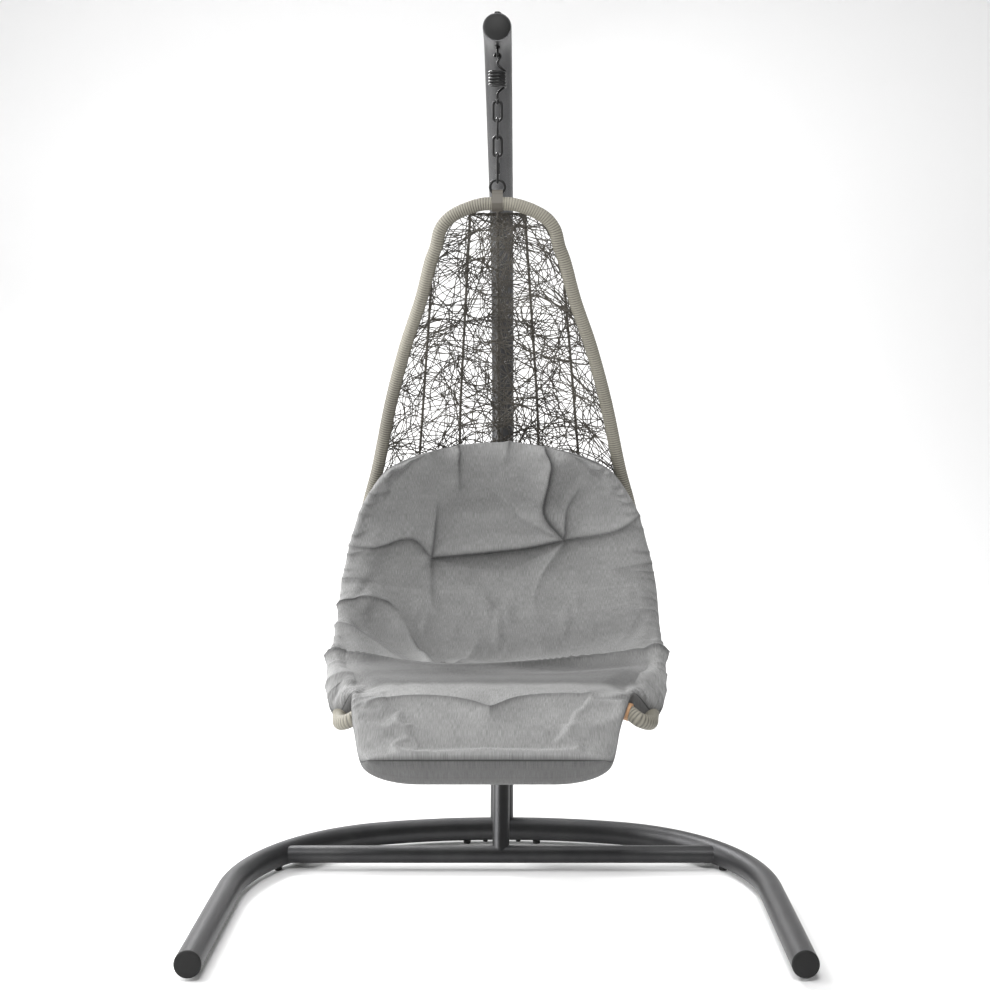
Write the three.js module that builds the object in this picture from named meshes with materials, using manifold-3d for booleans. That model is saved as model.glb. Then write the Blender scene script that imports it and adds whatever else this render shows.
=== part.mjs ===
// Hanging chaise swing: a wicker basket with a long pad, hung by a chain and a spring from a C-shaped steel stand.
// Units are millimetres, +Z is up, X runs across the seat and +Y runs from the feet back to the mast.
import * as THREE from "three";
import { mergeVertices } from "three/addons/utils/BufferGeometryUtils.js";
import Module from "manifold-3d";

const wasm = await Module();
wasm.setup();

// ---- driving dimensions ----
const originY = 440.8; // from the front of the feet to the middle of the whole object
const gap = 0.3; // between pieces that touch

const base = {
  radius: 30,
  height: 38, // tube axis above the floor
  halfWidth: 658,
  legLength: 440,
  cornerRadius: 445,
  cornerTurn: THREE.MathUtils.degToRad(75), // the bow at the back turns the rest
  socketRadius: 25.3,
  socketDepth: 30,
};
const connectorReach = THREE.MathUtils.degToRad(4.1); // half the bow's inner sleeve, as an angle of the bow
const crossbar = { radius: 22, y: 702 };
const brace = { radius: 22, topZ: 700, boltDrop: 75 };
const glide = { radius: 10, height: 14 };
const mast = { radius: 31.5, footRise: 8, jointZ: 1000 };
const sleeve = { radius: 27.5, reach: 80 };
const armCap = { flange: 29.3, plug: 25, depth: 25, dome: 6 };

// Middle line of the mast and its arm in side view, from the bow up and over to the tip.
const mastLine = [
  [913, 38],
  [1040, 480],
  [1120, 900],
  [1140, 1230],
  [1060, 1500],
  [860, 1700],
  [600, 1845],
  [340, 1970],
  [190, 2040],
  [76, 2050],
];

const hangY = 120;
const eye = { centreZ: 2003, radius: 8.5, wire: 3, shank: 6, hole: 6.5 };
const spring = { radius: 17, wire: 3, turns: 5, topZ: 1963, bottomZ: 1928, hook: 6.3 };
const link = { length: 52, width: 25, wire: 3.2, topZ: 1899.5 };
const quickLink = { length: 70.9, width: 24, wire: 3.2, nut: 5.8, nutLength: 24 };
const ring = { radius: 16.1, wire: 3.25 };
const linkDrop = link.length - 4 * link.wire - gap; // from one link's top to the next one's

const rail = { core: 11, bore: 11.8, outer: 15, sides: 8, steps: 46 };
// Right half of the rail's middle line, from the top of the arch to the middle of the front bar.
const railLine = [
  [0, 120, 1669],
  [35, 121, 1668],
  [82, 126, 1653],
  [111, 130, 1635],
  [127.5, 137, 1612],
  [137, 148, 1577],
  [149, 158, 1546],
  [173, 190, 1462],
  [210.5, 228, 1358],
  [248, 275, 1228],
  [285, 325, 1064.5],
  [308, 345, 982],
  [328, 355, 880],
  [343, 340, 780],
  [350, 295, 700],
  [350, 205, 640],
  [341, 90, 610],
  [328, -40, 597],
  [320, -110, 591],
  [312, -155, 590],
  [290, -172, 600],
  [265, -158, 614],
  [220, -150, 616],
  [0, -145, 612],
];
const shell = { thickness: 4, inset: 17, from: 0.068, to: 0.812, rim: 10, bulge: 62 };
const rib = { radius: 3, clear: 4 };

// Pad sections from head to foot: underside y and z, top y and z, half width, and how far the sides lie forward.
const padSections = [
  [368, 1138, 298, 1122, 150, 66],
  [376, 1116, 294, 1098, 220, 68],
  [385, 1090, 301, 1071, 266, 70],
  [400, 1035, 315, 1021, 302, 71],
  [411, 990, 326, 979, 324, 72],
  [419, 900, 334, 897, 348, 70],
  [411, 815, 328, 831, 362, 66],
  [385, 745, 312, 785, 369, 62],
  [333, 667, 280, 734, 372, 57],
  [270, 625, 243, 702, 372, 52],
  [200, 600, 185, 682, 371, 46],
  [95, 584, 92, 668, 369, 35],
  [0, 583, -2, 665, 364, 25],
  [-70, 588, -62, 672, 352, 14],
  [-112, 604, -106, 683, 318, 4],
  [-138, 634, -142, 677, 290, 0],
  [-170, 606, -184, 654, 280, 0],
  [-190, 545, -222, 622, 266, 0],
  [-208, 498, -254, 594, 252, 0],
  [-246, 496, -282, 572, 240, 0],
];
const padRimThinning = 0.4;

// ---- finishes ----
const finishes = {
  powderCoat: { color: 0x4a4b4c, roughness: 0.5, metalness: 0.35 },
  capPlastic: { color: 0x3c3c3c, roughness: 0.6, metalness: 0 },
  rubber: { color: 0x161616, roughness: 0.8, metalness: 0 },
  darkSteel: { color: 0x2c2c2c, roughness: 0.4, metalness: 0.7 },
  wicker: { color: 0x827d72, roughness: 0.7, metalness: 0 },
  strand: { color: 0x3c352d, roughness: 0.65, metalness: 0 },
  fabric: { color: 0x8b8b8b, roughness: 0.95, metalness: 0 },
  leather: { color: 0xc9ab8a, roughness: 0.6, metalness: 0 },
};

// ---- shared helpers ----
const swing = new THREE.Group();
const sides = [
  ["left", -1],
  ["right", 1],
];

function addPiece(name, geometry, finish) {
  const mesh = new THREE.Mesh(geometry, new THREE.MeshStandardMaterial(finishes[finish]));
  mesh.name = name;
  mesh.position.y = -originY;
  swing.add(mesh);
}

function at(x, y, z) {
  return new THREE.Vector3(x, y, z);
}

function solidOf(geometry) {
  const plain = geometry.clone();
  plain.deleteAttribute("normal");
  plain.deleteAttribute("uv");
  const merged = mergeVertices(plain, 1e-3);
  const vertProperties = new Float32Array(merged.attributes.position.array);
  const triVerts = new Uint32Array(merged.index.array);
  return new wasm.Manifold(new wasm.Mesh({ numProp: 3, vertProperties, triVerts }));
}

function geometryOf(solid) {
  const { vertProperties, triVerts } = solid.getMesh();
  const geometry = new THREE.BufferGeometry();
  geometry.setAttribute("position", new THREE.BufferAttribute(new Float32Array(vertProperties), 3));
  geometry.setIndex(new THREE.BufferAttribute(new Uint32Array(triVerts), 1));
  return geometry;
}

function cut(geometry, ...tools) {
  return geometryOf(tools.reduce((solid, tool) => solid.subtract(solidOf(tool)), solidOf(geometry)));
}

function join(...geometries) {
  return geometryOf(geometries.map(solidOf).reduce((whole, part) => whole.add(part)));
}

// Curve through points that is stepped from point to point, so tight bends get as many steps as long runs.
function curveThrough(points) {
  const curve = new THREE.CatmullRomCurve3(points, false, "centripetal");
  curve.getUtoTmapping = (u) => u;
  return curve;
}

function tube(curve, radius, steps, around, bore = 0) {
  const shape = new THREE.Shape();
  shape.absarc(0, 0, radius, 0, 2 * Math.PI, false);
  if (bore > 0) {
    const hole = new THREE.Path();
    hole.absarc(0, 0, bore, 0, 2 * Math.PI, true);
    shape.holes.push(hole);
  }
  return new THREE.ExtrudeGeometry(shape, {
    steps,
    curveSegments: around / 2,
    bevelEnabled: false,
    extrudePath: curve,
  });
}

// Round or many-sided bar from one point to another.
function bar(from, to, radius, around = 12) {
  const direction = to.clone().sub(from);
  const geometry = new THREE.CylinderGeometry(radius, radius, direction.length(), around);
  const turn = new THREE.Quaternion().setFromUnitVectors(at(0, 1, 0), direction.normalize());
  geometry.applyQuaternion(turn);
  return geometry.translate((from.x + to.x) / 2, (from.y + to.y) / 2, (from.z + to.z) / 2);
}

// Everything on the other side of the middle plane, so left and right halves end square to each other.
function otherHalf(side) {
  const width = 400;
  return new THREE.BoxGeometry(width, 4000, 6000).translate(side * (gap - width) / 2, 0, 0);
}

function post(x, y, lowZ, highZ, radius, around = 12) {
  return bar(at(x, y, lowZ), at(x, y, highZ), radius, around);
}

function turned(profile, around = 20) {
  return new THREE.LatheGeometry(
    profile.map(([r, h]) => new THREE.Vector2(r, h)),
    around,
  );
}

// ---- floor frame ----
const cornerX = base.halfWidth - base.cornerRadius;
const bowRadius = base.cornerRadius + cornerX / Math.cos(base.cornerTurn);
const bowCentreY = base.legLength - cornerX * Math.tan(base.cornerTurn);

function bowPoint(side, angleFromMiddle) {
  const angle = Math.PI / 2 - angleFromMiddle;
  const x = side * bowRadius * Math.cos(angle);
  return at(x, bowCentreY + bowRadius * Math.sin(angle), base.height);
}

function cornerPoint(side, angle) {
  const x = side * (cornerX + base.cornerRadius * Math.cos(angle));
  return at(x, base.legLength + base.cornerRadius * Math.sin(angle), base.height);
}

const bowMiddle = bowPoint(1, 0);

// Half of the floor tube: straight leg, corner, then half of the bow, ending overrun past the middle.
function baseCurve(side, overrun) {
  const points = [at(side * base.halfWidth, 0, base.height)];
  points.push(at(side * base.halfWidth, base.legLength / 2, base.height));
  for (let i = 0; i <= 9; i += 1) {
    points.push(cornerPoint(side, (base.cornerTurn * i) / 9));
  }
  const bowTurn = Math.PI / 2 - base.cornerTurn;
  for (let i = 1; i <= 4; i += 1) {
    points.push(bowPoint(side, bowTurn - ((bowTurn + overrun) * i) / 4));
  }
  return curveThrough(points);
}

function baseTube(side, radius, overrun) {
  return tube(baseCurve(side, overrun), radius, 24, 14);
}

function baseClearance() {
  return sides.map(([, side]) => baseTube(side, base.radius + gap, 0.01));
}

function bowSleeve(radius, reach) {
  const points = [-1, -0.5, 0, 0.5, 1].map((part) => bowPoint(1, reach * part));
  return tube(curveThrough(points), radius, 8, 16);
}

// Upright bolt whose button head sits under the bow.
function underBolt(x, topZ) {
  const y = bowMiddle.y - 0.6;
  const underside = base.height - base.radius;
  const head = post(x, y, underside - 4.5, underside - gap, 6.5, 12);
  return join(head, post(x, y, underside - 2, topZ, 3, 8));
}

function underBoltHole(x) {
  return post(x, bowMiddle.y - 0.6, -5, 150, 3.4, 8);
}

const underBolts = { left: -45, foot: 0, right: 45 };

function addFloorFrame() {
  const holes = Object.values(underBolts).map(underBoltHole);
  for (const [name, side] of sides) {
    const x = side * base.halfWidth;
    const frontSocket = bar(at(x, -5, base.height), at(x, base.socketDepth, base.height), base.socketRadius, 20);
    const backSocket = bowSleeve(base.socketRadius, connectorReach * 1.02);
    const body = baseTube(side, base.radius, 0.01);
    const tools = [otherHalf(side), frontSocket, backSocket, ...holes];
    addPiece(`base_tube_${name}`, cut(body, ...tools), "powderCoat");
    const cap = turned([
      [0, 0],
      [base.radius - 2, 0],
      [base.radius, 2],
      [base.radius, 4],
      [base.socketRadius - gap, 4],
      [base.socketRadius - gap, 26],
      [0, 26],
    ]);
    addPiece(`foot_cap_${name}`, cap.translate(x, -4 - gap, base.height), "capPlastic");
  }
  const inner = bowSleeve(base.socketRadius - gap, connectorReach);
  addPiece("base_connector", cut(inner, ...holes), "darkSteel");
  addPiece("base_bolt_left", underBolt(underBolts.left, base.height + 20), "darkSteel");
  addPiece("base_bolt_right", underBolt(underBolts.right, base.height + 20), "darkSteel");
  addPiece("mast_foot_bolt", underBolt(underBolts.foot, base.height + 70), "darkSteel");
  const ends = at(cornerPoint(1, Math.asin((crossbar.y - base.legLength) / base.cornerRadius)).x, 0, 0);
  const from = at(-ends.x, crossbar.y, base.height);
  const to = at(ends.x, crossbar.y, base.height);
  addPiece("crossbar", cut(bar(from, to, crossbar.radius, 16), ...baseClearance()), "powderCoat");
}

function addGlides() {
  const sideGlide = cornerPoint(1, THREE.MathUtils.degToRad(35));
  const rearGlide = bowPoint(1, 0.075);
  const places = {
    front: [base.halfWidth, 50],
    side: [sideGlide.x, sideGlide.y],
    rear: [rearGlide.x, rearGlide.y],
  };
  for (const [place, [x, y]] of Object.entries(places)) {
    for (const [name, side] of sides) {
      const foot = post(side * x, y, 0, glide.height, glide.radius, 16);
      addPiece(`glide_${place}_${name}`, cut(foot, ...baseClearance()), "rubber");
    }
  }
}

// ---- mast, arm and brace ----
const mastCurve = new THREE.CatmullRomCurve3(
  mastLine.map(([y, z]) => at(0, y, z)),
  false,
  "centripetal",
);

// Share of the mast's length at which it first reaches a height.
function mastShare(z) {
  let low = 0;
  let high = 0.75;
  for (let i = 0; i < 40; i += 1) {
    const middle = (low + high) / 2;
    if (mastCurve.getPointAt(middle).z < z) {
      low = middle;
    } else {
      high = middle;
    }
  }
  return low;
}

function mastPart(fromShare, toShare, radius, steps, around = 14) {
  const points = [];
  for (let i = 0; i <= steps; i += 1) {
    points.push(mastCurve.getPointAt(fromShare + ((toShare - fromShare) * i) / steps));
  }
  return tube(curveThrough(points), radius, steps, around);
}

const jointShare = mastShare(mast.jointZ);
const sleeveShare = sleeve.reach / mastCurve.getLength();

function mastBoltAt(place) {
  return mastCurve.getPointAt(mastShare(mast.jointZ + place * 45));
}

function addMast() {
  const bolts = [-1, 1].map((place) => mastBoltAt(place));
  const holes = bolts.map((c) => bar(at(-60, c.y, c.z), at(60, c.y, c.z), 3.5, 8));
  const overrun = 4 / mastCurve.getLength();
  const seam = (sign) => {
    const depth = 100;
    const box = new THREE.BoxGeometry(200, 300, depth);
    return box.translate(0, mastCurve.getPointAt(jointShare).y, mast.jointZ + (sign * (depth - gap)) / 2);
  };
  const socket = mastPart(
    jointShare - sleeveShare * 1.01,
    jointShare + sleeveShare * 1.01,
    sleeve.radius + gap,
    8,
  );
  const lower = mastPart(mastShare(base.height + mast.footRise), jointShare + overrun, mast.radius, 8);
  const upper = mastPart(jointShare - overrun, 1, mast.radius, 24);
  const tip = mastCurve.getPointAt(1);
  const tipTurn = new THREE.Quaternion().setFromUnitVectors(at(0, 1, 0), mastCurve.getTangentAt(1));
  const tipSocket = turned([
    [0, -30],
    [armCap.plug + gap, -30],
    [armCap.plug + gap, 0],
    [mast.radius + 5, 0],
    [mast.radius + 5, 10],
    [0, 10],
  ]);
  tipSocket.applyQuaternion(tipTurn).translate(0, tip.y, tip.z);
  const eyeHole = post(0, hangY, eye.centreZ, eye.centreZ + 110, eye.hole, 12);
  const footHoles = [underBoltHole(underBolts.foot), braceBolt(3.4, 3.4)];
  addPiece("mast_lower", cut(lower, seam(1), ...baseClearance(), socket, ...holes, ...footHoles), "powderCoat");
  addPiece("mast_upper", cut(upper, seam(-1), socket, tipSocket, eyeHole, ...holes), "powderCoat");
  const inner = mastPart(jointShare - sleeveShare, jointShare + sleeveShare, sleeve.radius, 8);
  addPiece("mast_sleeve", cut(inner, ...holes), "darkSteel");
  const cap = turned([
    [0, -armCap.depth],
    [armCap.plug, -armCap.depth],
    [armCap.plug, gap],
    [armCap.flange, gap],
    [armCap.flange - 2, 2.5],
    [armCap.flange * 0.6, 4.8],
    [0, armCap.dome],
  ]);
  addPiece("arm_cap", cap.applyQuaternion(tipTurn).translate(0, tip.y, tip.z), "capPlastic");
  bolts.forEach((centre, i) => addMastBolt(centre, i === 0 ? "lower" : "upper"));
}

function addMastBolt(centre, name) {
  const along = (x) => at(x, centre.y, centre.z);
  const face = mast.radius + gap;
  const head = bar(along(face), along(face + 5), 7, 12);
  const shank = bar(along(-face - 7), along(face + 2), 3.2, 8);
  const nut = bar(along(-face - 6), along(-face), 6.5, 6);
  addPiece(`mast_bolt_${name}`, join(head, shank), "darkSteel");
  addPiece(`mast_nut_${name}`, cut(nut, bar(along(-face - 20), along(0), 3.5, 8)), "darkSteel");
}

const braceTop = mastCurve.getPointAt(mastShare(brace.topZ));
const braceBoltPoint = mastCurve.getPointAt(mastShare(brace.topZ - brace.boltDrop));

// Bolt straight through the mast into the head of the brace.
function braceBolt(shankRadius, headRadius) {
  const rear = braceBoltPoint.y + mast.radius + 2;
  const along = (y) => at(0, y, braceBoltPoint.z);
  const head = bar(along(rear), along(rear + 4.5), headRadius, 12);
  return join(head, bar(along(rear - 88), along(rear + 2), shankRadius, 8));
}

function addBrace() {
  const foot = at(0, crossbar.y, base.height);
  const crossbarSpace = bar(at(-60, foot.y, foot.z), at(60, foot.y, foot.z), crossbar.radius + gap, 16);
  const mastSpace = mastPart(0.05, jointShare, mast.radius + 1, 16);
  const body = bar(foot.clone().lerp(braceTop, 0.012), braceTop, brace.radius, 16);
  addPiece("brace", cut(body, crossbarSpace, mastSpace, braceBolt(3.4, 3.4)), "powderCoat");
  addPiece("brace_bolt", braceBolt(3, 7), "darkSteel");
}

// ---- spring and chain ----
function armTopZ() {
  return mastCurve.getPointAt(0.977).z + mast.radius;
}

function addEyeBolt() {
  const topZ = armTopZ();
  const loop = new THREE.TorusGeometry(eye.radius, eye.wire, 8, 16);
  loop.rotateY(Math.PI / 2).translate(0, hangY, eye.centreZ);
  const shank = post(0, hangY, eye.centreZ + eye.radius - 1, topZ + 8, eye.shank, 12);
  addPiece("eye_bolt", join(loop, shank), "darkSteel");
  const hole = post(0, hangY, topZ - 60, topZ + 8.5, eye.hole, 12);
  const arm = mastPart(0.9, 1, mast.radius + 1, 8);
  addPiece("eye_washer", cut(post(0, hangY, topZ - 6, topZ + 2.5, 14, 16), arm, hole), "darkSteel");
  const hex = post(0, hangY, topZ + 2.8, topZ + 9.5, 12, 6);
  const dome = new THREE.SphereGeometry(9.6, 12, 8).scale(1, 1, 0.6).translate(0, hangY, topZ + 9);
  addPiece("cap_nut", cut(join(hex, dome), hole), "darkSteel");
}

// Upper hook over the eye, coil, then lower hook under the first link.
function springCurve() {
  const points = [];
  const eyeWireZ = eye.centreZ - eye.radius;
  for (let i = 0; i <= 6; i += 1) {
    const angle = THREE.MathUtils.degToRad(205 - (235 * i) / 6);
    points.push(at(spring.hook * Math.cos(angle), hangY, eyeWireZ + spring.hook * Math.sin(angle)));
  }
  points.push(at(1.5, hangY, eyeWireZ - 9.5));
  points.push(at(0, hangY, eyeWireZ - 17));
  const perTurn = 12;
  const coilSteps = spring.turns * perTurn;
  points.push(at(9, hangY, eyeWireZ - 26));
  for (let i = 0; i <= coilSteps; i += 1) {
    const angle = (2 * Math.PI * (i + 0.5)) / perTurn;
    const z = spring.topZ + ((spring.bottomZ - spring.topZ) * i) / coilSteps;
    points.push(at(spring.radius * Math.cos(angle), hangY + spring.radius * Math.sin(angle), z));
  }
  const linkWireZ = link.topZ - link.wire;
  const hook = spring.hook + link.wire - spring.wire;
  points.push(at(7, hangY + 4, linkWireZ + 24));
  points.push(at(0, hangY, linkWireZ + 16));
  points.push(at(0, hangY + 2, linkWireZ + 10));
  for (let i = 0; i <= 6; i += 1) {
    const angle = THREE.MathUtils.degToRad(30 - (235 * i) / 6);
    points.push(at(0, hangY + hook * Math.cos(angle), linkWireZ + hook * Math.sin(angle)));
  }
  return curveThrough(points);
}

// Loop of round wire with straight flanks: facing the front, or turned to face the sides.
function wireLoop(length, width, wire, topZ, sideways) {
  const around = 16;
  const bend = width / 2 - wire;
  const geometry = new THREE.TorusGeometry(bend, wire, 8, around);
  geometry.rotateZ(Math.PI / around);
  const stretch = (length - width) / 2;
  const position = geometry.attributes.position;
  for (let i = 0; i < position.count; i += 1) {
    position.setY(i, position.getY(i) + Math.sign(position.getY(i)) * stretch);
  }
  geometry.rotateX(Math.PI / 2);
  if (sideways) {
    geometry.rotateZ(Math.PI / 2);
  }
  return geometry.translate(0, hangY, topZ - length / 2);
}

const quickTopZ = link.topZ - 3 * linkDrop;
const ringTopZ = quickTopZ - quickLink.length + 2 * quickLink.wire + 2 * ring.wire + gap;
const ringSize = 2 * (ring.radius + ring.wire);

function addChain() {
  addPiece("spring", tube(springCurve(), spring.wire, 84, 8), "darkSteel");
  ["a", "b", "c"].forEach((name, i) => {
    const loop = wireLoop(link.length, link.width, link.wire, link.topZ - i * linkDrop, i === 1);
    addPiece(`chain_link_${name}`, loop, "darkSteel");
  });
  const middleZ = quickTopZ - quickLink.length / 2;
  const flankY = hangY + quickLink.width / 2 - quickLink.wire;
  const body = wireLoop(quickLink.length, quickLink.width, quickLink.wire, quickTopZ, true);
  const opening = post(0, flankY, middleZ - 6, middleZ + 6, 6, 8);
  addPiece("quick_link", cut(body, opening), "darkSteel");
  const half = quickLink.nutLength / 2;
  const nut = post(0, flankY, middleZ - half, middleZ + half, quickLink.nut, 6);
  const thread = post(0, flankY, middleZ - half - 1, middleZ + half + 1, quickLink.wire + gap, 12);
  addPiece("quick_link_nut", cut(nut, thread), "darkSteel");
  addPiece("hang_ring", wireLoop(ringSize, ringSize, ring.wire, ringTopZ, false), "darkSteel");
}

// ---- basket ----
function railCurve(side) {
  const overrun = 3;
  return curveThrough(railLine.map(([x, y, z]) => at(side * (x || -overrun), y, z)));
}

function railTube(side, radius, bore = 0) {
  return tube(railCurve(side), radius, rail.steps, rail.sides, bore);
}

function railClearance(space) {
  return sides.map(([, side]) => railTube(side, rail.outer + space));
}

function addRail() {
  for (const [name, side] of sides) {
    addPiece(`rail_tube_${name}`, cut(railTube(side, rail.core), otherHalf(side)), "darkSteel");
    const wrap = railTube(side, rail.outer, rail.bore);
    addPiece(`rail_wrap_${name}`, cut(wrap, otherHalf(side)), "wicker");
  }
}

const ringBand = { width: 24, thickness: 3, top: 10.4 };

// Strap round the ring's lower wire and the top of the rail together.
function addRingBand() {
  const railZ = railLine[0][2];
  const ringZ = ringTopZ - ringSize + ring.wire;
  const outline = new THREE.Shape();
  outline.absarc(0, ringZ, ringBand.top, 0, Math.PI, false);
  outline.absarc(0, railZ, rail.outer + ringBand.thickness, Math.PI, 2 * Math.PI, false);
  const { width } = ringBand;
  const band = new THREE.ExtrudeGeometry(outline, { depth: width, bevelEnabled: false, curveSegments: 8 });
  band.rotateX(Math.PI / 2).rotateZ(Math.PI / 2).translate(-width / 2, hangY, 0);
  const ringSpace = wireLoop(ringSize + 2 * gap, ringSize + 2 * gap, ring.wire + gap, ringTopZ + gap, false);
  addPiece("ring_band", cut(band, ringSpace, ...railClearance(gap)), "wicker");
}

const rightRail = new THREE.CatmullRomCurve3(
  railLine.map(([x, y, z]) => at(x, y, z)),
  false,
  "centripetal",
);
const railLast = railLine.length - 1;

function railAt(along) {
  return rightRail.getPointAt(shell.from + (shell.to - shell.from) * along);
}

// Point on the woven hollow. Along runs head to front bar, x goes across and out is the distance behind the weave.
function hollowPoint(along, x, out) {
  const edge = railAt(along);
  const behind = railAt(along - 0.015);
  const ahead = railAt(along + 0.015);
  const run = Math.hypot(ahead.y - behind.y, ahead.z - behind.z);
  const across = Math.min(Math.abs(x) / (edge.x - shell.inset), 1.06);
  const depth = shell.rim + shell.bulge * Math.sin(Math.PI * Math.pow(along, 0.9)) - 16 * Math.pow(along, 10);
  const reach = depth * (1 - Math.pow(across, 2.6)) + out;
  const y = edge.y + (reach * (behind.z - ahead.z)) / run;
  const z = edge.z + (reach * (ahead.y - behind.y)) / run;
  return at(x, y, z);
}

function hollowHalfWidth(along) {
  return railAt(along).x - shell.inset;
}

// Closed slab: rows run along it, columns across it and layers through it, each place given by a function.
function slab(rows, columns, layers, place) {
  const geometry = new THREE.BoxGeometry(1, 1, 1, columns, rows, layers);
  geometry.deleteAttribute("normal");
  geometry.deleteAttribute("uv");
  const merged = mergeVertices(geometry, 1e-6);
  const position = merged.attributes.position;
  for (let i = 0; i < position.count; i += 1) {
    const point = place(0.5 - position.getY(i), 2 * position.getX(i), position.getZ(i) + 0.5);
    position.setXYZ(i, point.x, point.y, point.z);
  }
  return merged;
}

// The hollow's sheet between two distances behind the weave's outer face.
function hollowSheet(outer, inner, wider = 0) {
  return slab(26, 10, 1, (along, across, through) => {
    const x = across * (hollowHalfWidth(along) + wider);
    return hollowPoint(along, x, outer + (inner - outer) * through);
  });
}

function addShell() {
  const woven = hollowSheet(0, -shell.thickness);
  addPiece("woven_shell", cut(woven, ...railClearance(1)), "strand");
}

// Rods behind the weave: where each starts along the hollow, then its distance from the middle at four places.
const ribs = {
  center: [0, 0, 0, 0, 0],
  inner: [0, 62, 91, 105, 100],
  outer: [0.105, 150, 187, 222, 205],
};

function ribPoints(side, start, spread) {
  const points = [];
  const steps = 20;
  for (let i = 0; i <= steps; i += 1) {
    const part = (3 * i) / steps;
    const below = Math.min(Math.floor(part), 2);
    const x = spread[below] + (spread[below + 1] - spread[below]) * (part - below);
    const along = start + (1 - start) * (i / steps);
    points.push(hollowPoint(along, side * x, rib.radius + rib.clear));
  }
  return points;
}

function addRibs() {
  const barPoint = railLine[railLast];
  const bandEnd = (x) => at(x, hangY, railLine[0][2]);
  const bandRadius = rail.outer + ringBand.thickness + 4 * gap;
  const bandSpace = bar(bandEnd(-ringBand.width / 2 - gap), bandEnd(ringBand.width / 2 + gap), bandRadius, 16);
  for (const [place, [start, ...spread]] of Object.entries(ribs)) {
    for (const [name, side] of place === "center" ? [["", 0]] : sides) {
      const points = ribPoints(side, start, spread);
      const last = points[points.length - 1];
      points.push(at(last.x, barPoint[1] + 6, barPoint[2] - 6));
      if (start === 0) {
        const archZ = place === "center" ? 1660 : 1652;
        points.unshift(at(points[0].x, railLine[0][1] + 11, archZ));
      } else {
        const fixing = railAt(start - 0.012);
        points.unshift(at(side * fixing.x, fixing.y, fixing.z));
      }
      const rod = tube(curveThrough(points), rib.radius, points.length - 1, 6);
      const label = name === "" ? "rib_center" : `rib_${place}_${name}`;
      addPiece(label, cut(rod, bandSpace, ...railClearance(gap)), "strand");
    }
  }
}

// Cross rods outside the ribs, each ending against the rails.
function addHoops() {
  const places = { back: 0.47, seat_rear: 0.67, seat_front: 0.84 };
  for (const [name, along] of Object.entries(places)) {
    const points = [];
    const half = hollowHalfWidth(along) + shell.inset - 4;
    for (let i = 0; i <= 14; i += 1) {
      points.push(hollowPoint(along, half * (i / 7 - 1), 3 * rib.radius + rib.clear + 2));
    }
    const rod = tube(curveThrough(points), rib.radius, 14, 6);
    addPiece(`hoop_${name}`, cut(rod, ...railClearance(gap)), "strand");
  }
}

// ---- pad and its ties ----
function sectionLine(first, second) {
  return new THREE.SplineCurve(padSections.map((row) => new THREE.Vector2(row[first], row[second])));
}

const padUnderside = sectionLine(0, 1);
const padTop = sectionLine(2, 3);
const padSpread = sectionLine(4, 5);

function padPoint(along, across, through) {
  const low = padUnderside.getPoint(along);
  const high = padTop.getPoint(along);
  const { x: halfWidth, y: forward } = padSpread.getPoint(along);
  const rim = Math.pow(Math.abs(across), 3);
  const lift = high.clone().sub(low);
  const shift = (forward * Math.pow(Math.abs(across), 2.2) * 1.22) / lift.length();
  const share = shift + through * (1 - padRimThinning * rim);
  return at(halfWidth * across, low.x + lift.x * share, low.y + lift.y * share);
}

function addPad() {
  const behindWeave = hollowSheet(70, -shell.thickness - 2, 6);
  const ties = sides.map(([, side]) => tieStrap(side, 1));
  const body = slab(26, 10, 1, padPoint);
  addPiece("cushion", cut(body, behindWeave, ...railClearance(1), ...ties), "fabric");
}

// Short collar round the front bar just inside its end.
function tieStrap(side, extra) {
  const curve = railCurve(side);
  const station = 21 / railLast;
  const middle = curve.getPoint(station);
  const half = curve.getTangent(station).multiplyScalar(9 + extra);
  return bar(middle.clone().sub(half), middle.clone().add(half), rail.outer + 3 + extra, 16);
}

function addTies() {
  for (const [name, side] of sides) {
    addPiece(`tie_${name}`, cut(tieStrap(side, 0), ...railClearance(gap)), "leather");
  }
}

addFloorFrame();
addGlides();
addMast();
addBrace();
addEyeBolt();
addChain();
addRail();
addRingBand();
addShell();
addRibs();
addHoops();
addPad();
addTies();

export default swing;
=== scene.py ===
import bpy
import bmesh
import math
import random
import numpy as np
from mathutils import Matrix, Vector, noise


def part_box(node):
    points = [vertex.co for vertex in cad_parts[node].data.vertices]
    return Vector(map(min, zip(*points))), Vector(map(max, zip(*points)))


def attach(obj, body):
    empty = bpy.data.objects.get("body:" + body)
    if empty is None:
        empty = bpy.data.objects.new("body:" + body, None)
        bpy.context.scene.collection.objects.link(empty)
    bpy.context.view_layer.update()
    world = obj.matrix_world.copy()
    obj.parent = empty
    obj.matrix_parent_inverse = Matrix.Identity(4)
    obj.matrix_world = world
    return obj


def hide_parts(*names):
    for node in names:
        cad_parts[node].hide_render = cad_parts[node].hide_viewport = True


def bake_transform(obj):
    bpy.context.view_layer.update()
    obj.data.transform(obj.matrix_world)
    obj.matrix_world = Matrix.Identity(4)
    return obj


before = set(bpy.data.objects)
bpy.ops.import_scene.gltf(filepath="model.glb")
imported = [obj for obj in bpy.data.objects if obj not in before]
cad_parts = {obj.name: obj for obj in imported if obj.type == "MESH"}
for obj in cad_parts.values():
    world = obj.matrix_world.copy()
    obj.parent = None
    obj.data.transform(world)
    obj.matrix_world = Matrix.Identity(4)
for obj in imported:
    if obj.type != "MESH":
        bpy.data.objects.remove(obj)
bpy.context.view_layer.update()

# ---- place and shape helpers, lengths in millimetres from the front of the feet ----
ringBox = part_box("hang_ring")
hangY = 120
originY = hangY - 500 * (ringBox[0][1] + ringBox[1][1])


def place(x, y, z):
    return Vector((x / 1000, (y - originY) / 1000, z / 1000))


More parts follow.
